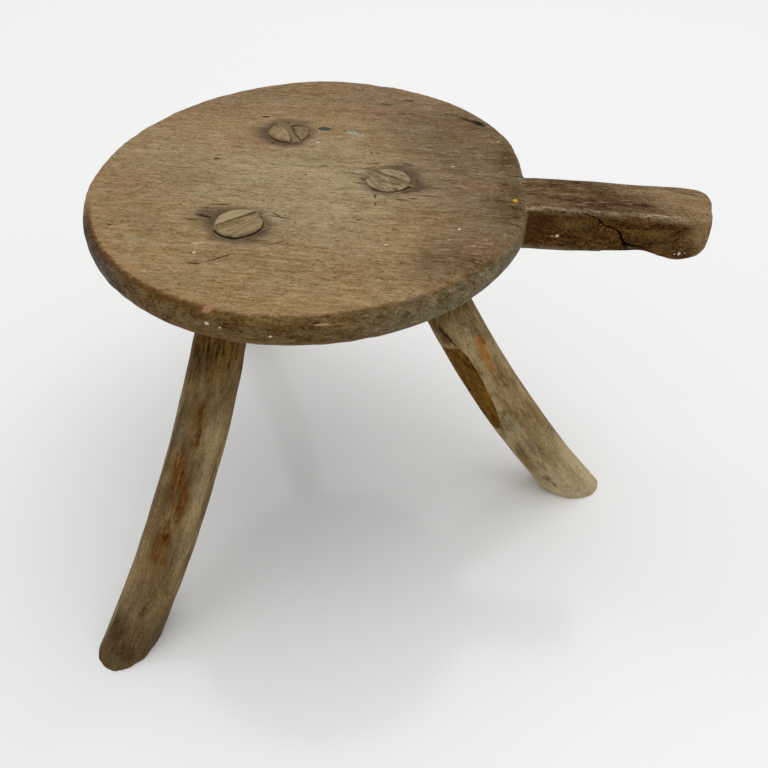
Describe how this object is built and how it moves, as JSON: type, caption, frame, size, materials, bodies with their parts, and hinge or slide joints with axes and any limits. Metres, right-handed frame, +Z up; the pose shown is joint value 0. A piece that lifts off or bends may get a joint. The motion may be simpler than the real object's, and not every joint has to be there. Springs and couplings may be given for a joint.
{
  "type": "tripod stool",
  "caption": "Small round milking stool: a plank seat with a carry handle cut from the same wood, on bent hewn legs with wedged through tenons.",
  "frame": {"origin": "on the floor, under the middle of the stool's box", "axes": "+Z up, +X along the carry handle, +Y towards the back leg"},
  "size_m": [0.3578, 0.3642, 0.2366],
  "materials": {
    "seat_wood": "bare hardwood, worn and greyed, rubbed pale on its edges",
    "leg_wood": "bare hewn branch wood, grey-olive with rust stains",
    "wedge_wood": "bare split wood, dirty end grain"
  },
  "bodies": {
    "root": {"seat_with_handle": "seat_wood", "leg_front_left": "leg_wood", "leg_handle_side": "leg_wood", "leg_back": "leg_wood", "wedge_front_left": "wedge_wood", "wedge_handle_side": "wedge_wood", "wedge_back": "wedge_wood"}
  },
  "joints": []
}
